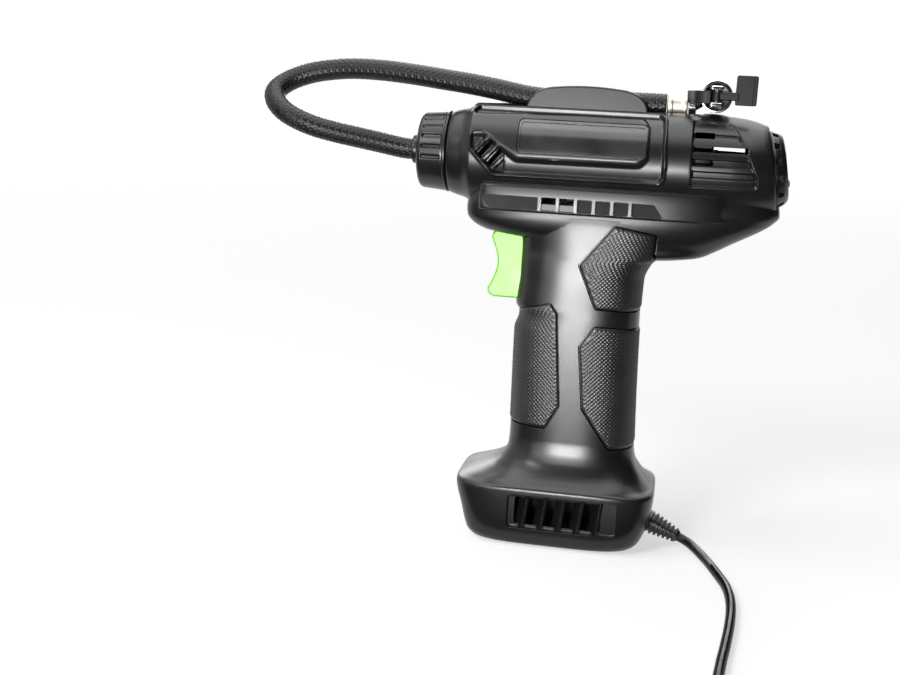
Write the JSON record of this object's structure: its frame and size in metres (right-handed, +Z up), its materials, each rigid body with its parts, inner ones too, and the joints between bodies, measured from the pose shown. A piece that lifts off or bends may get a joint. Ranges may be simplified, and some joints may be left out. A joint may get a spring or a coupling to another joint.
{
  "type": "portable tire inflator",
  "caption": "Pistol-shaped portable tire inflator with a rubber-gripped handle, sprung trigger, air hose clipped along the barrel, lever chuck, rear gauge and a coiled car-socket power cord.",
  "frame": {"origin": "centre of the handle's base on the floor, under the foot pad", "axes": "+Z up along the handle, -X towards the nose where the hose leaves, +X towards the gauge, -Y towards the side with the badge"},
  "size_m": [0.2309, 0.3066, 0.2078],
  "materials": {
    "black_plastic": "fine moulded texture, half matt",
    "rubber": "matt",
    "lime_plastic": "smooth",
    "steel": "plain",
    "chrome": "polished",
    "aluminium": "satin",
    "brass": "plain",
    "white_plastic": "plain",
    "board_green": "plain",
    "gauge_glass": "polished, dark",
    "badge_grey": "satin, metallic grey",
    "braid": "woven sleeve"
  },
  "bodies": {
    "inflator": {"air_hose": "braid", "air_tube": "rubber", "badge_plate": "badge_grey", "chuck_body": "chrome", "chuck_seal": "rubber", "cord_coil": "rubber", "cord_tie": "rubber", "cylinder": "aluminium", "cylinder_head": "aluminium", "foot_pad": "rubber", "gauge_board": "board_green", "gauge_window": "gauge_glass", "gear_axle": "steel", "gear_frame": "steel", "hose_ferrule": "aluminium", "hose_gland": "black_plastic", "housing_screw_1": "steel", "housing_screw_2": "steel", "housing_screw_3": "steel", "housing_screw_4": "steel", "left_clip_jaw": "black_plastic", "left_front_grip": "rubber", "left_housing": "black_plastic", "left_rear_lower_grip": "rubber", "left_rear_upper_grip": "rubber", "lever_pin": "steel", "motor_can": "steel", "nose_collar": "black_plastic", "plug_body": "black_plastic", "plug_ring": "black_plastic", "power_cord": "rubber", "rear_cap": "black_plastic", "right_clip_jaw": "black_plastic", "right_front_grip": "rubber", "right_housing": "black_plastic", "right_rear_lower_grip": "rubber", "right_rear_upper_grip": "rubber", "strain_relief": "rubber", "trigger_switch": "black_plastic"},
    "gear": {"drive_gear": "white_plastic", "crank_pin": "steel"},
    "rotor": {"motor_shaft": "steel", "motor_pinion": "brass"},
    "rod": {"connecting_rod": "aluminium", "wrist_pin": "steel"},
    "piston": {"piston": "aluminium", "piston_ring": "rubber"},
    "trigger": {"trigger": "lime_plastic", "trigger_spring": "steel"},
    "minus_button": {"minus_button": "rubber"},
    "mode_button": {"mode_button": "rubber"},
    "plus_button": {"plus_button": "rubber"},
    "chuck_lever": {"chuck_lever": "black_plastic"},
    "plug_tip": {"plug_tip": "chrome"},
    "plug_contact_1": {"plug_contact_1": "chrome"},
    "plug_contact_2": {"plug_contact_2": "chrome"}
  },
  "joints": [
    {"name": "gear_spin", "type": "hinge", "parent": "inflator", "child": "gear", "pos_m": [0, 0, 0.1553], "axis": [1, 0, 0], "continuous": true},
    {"name": "motor_spin", "type": "hinge", "parent": "inflator", "child": "rotor", "pos_m": [0, 0, 0.1715], "axis": [1, 0, 0], "continuous": true},
    {"name": "rod_orbit", "type": "hinge", "parent": "gear", "child": "rod", "pos_m": [-0.004, 0, 0.1523], "axis": [1, 0, 0], "continuous": true},
    {"name": "piston_stroke", "type": "slide", "parent": "inflator", "child": "piston", "axis": [0, 0, 1], "range_m": [0, 0.006]},
    {"name": "trigger_pull", "type": "slide", "parent": "inflator", "child": "trigger", "axis": [1, 0, 0], "range_m": [0, 0.005], "stiffness_N_per_m": 500, "springref_m": -0.004},
    {"name": "minus_press", "type": "slide", "parent": "inflator", "child": "minus_button", "axis": [-0.9848, 0, -0.1736], "range_m": [0, 0.0008], "stiffness_N_per_m": 1500, "springref_m": -0.0004},
    {"name": "mode_press", "type": "slide", "parent": "inflator", "child": "mode_button", "axis": [-0.9848, 0, -0.1736], "range_m": [0, 0.0008], "stiffness_N_per_m": 1500, "springref_m": -0.0004},
    {"name": "plus_press", "type": "slide", "parent": "inflator", "child": "plus_button", "axis": [-0.9848, 0, -0.1736], "range_m": [0, 0.0008], "stiffness_N_per_m": 1500, "springref_m": -0.0004},
    {"name": "lever_flip", "type": "hinge", "parent": "inflator", "child": "chuck_lever", "pos_m": [0.0543, -0.0118, 0.1985], "axis": [0, 0, -1], "range_deg": [0, 90]},
    {"name": "tip_press", "type": "slide", "parent": "inflator", "child": "plug_tip", "axis": [1, 0, 0], "range_m": [0, 0.003], "stiffness_N_per_m": 800, "springref_m": -0.003},
    {"name": "contact_1_press", "type": "slide", "parent": "inflator", "child": "plug_contact_1", "axis": [0, 1, 0], "range_m": [0, 0.001], "stiffness_N_per_m": 1500, "springref_m": -0.0006},
    {"name": "contact_2_press", "type": "slide", "parent": "inflator", "child": "plug_contact_2", "axis": [0, -1, 0], "range_m": [0, 0.001], "stiffness_N_per_m": 1500, "springref_m": -0.0006}
  ],
  "couplings": [
    {"joint": "motor_spin", "follows": "gear_spin", "ratio": -3},
    {"joint": "rod_orbit", "follows": "gear_spin", "ratio": -1}
  ]
}
